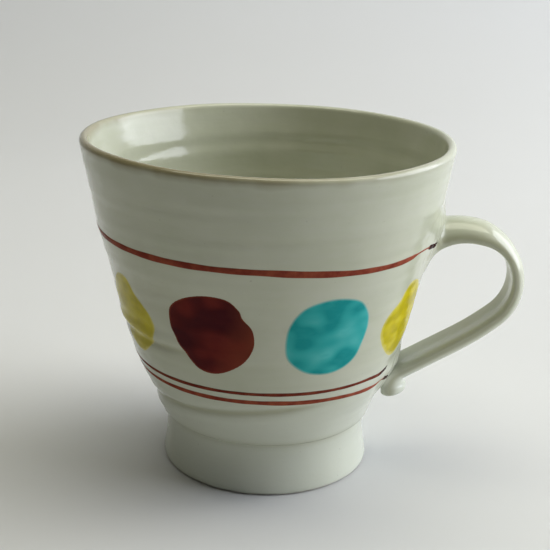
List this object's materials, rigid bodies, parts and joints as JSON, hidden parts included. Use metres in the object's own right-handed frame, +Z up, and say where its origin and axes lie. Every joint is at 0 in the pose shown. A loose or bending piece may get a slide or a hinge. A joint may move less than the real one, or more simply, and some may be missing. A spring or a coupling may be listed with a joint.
{
  "type": "mug",
  "caption": "Hand-thrown glazed mug with a turned foot, a pulled strap handle, enamel spots and painted iron-red lines.",
  "frame": {"origin": "centre of the foot's standing ring, on the table", "axes": "+Z up along the cup's axis, +X out through the middle of the handle, +Y to the left of the handle seen from the handle's side"},
  "size_m": [0.1085, 0.09, 0.0832],
  "materials": {
    "glazed_clay": "gloss",
    "iron_red_enamel": "gloss",
    "maroon_enamel": "gloss",
    "yellow_enamel": "gloss",
    "turquoise_enamel": "gloss"
  },
  "bodies": {
    "root": {"body": "glazed_clay", "handle": "glazed_clay", "upper_slip_seam": "glazed_clay", "lower_slip_seam": "glazed_clay", "upper_line": "iron_red_enamel", "low_line_1": "iron_red_enamel", "low_line_2": "iron_red_enamel", "spot_yellow_1": "yellow_enamel", "spot_yellow_2": "yellow_enamel", "spot_yellow_3": "yellow_enamel", "spot_red_1": "maroon_enamel", "spot_red_2": "maroon_enamel", "spot_red_3": "maroon_enamel", "spot_turquoise_1": "turquoise_enamel", "spot_turquoise_2": "turquoise_enamel", "spot_turquoise_3": "turquoise_enamel"}
  },
  "joints": []
}
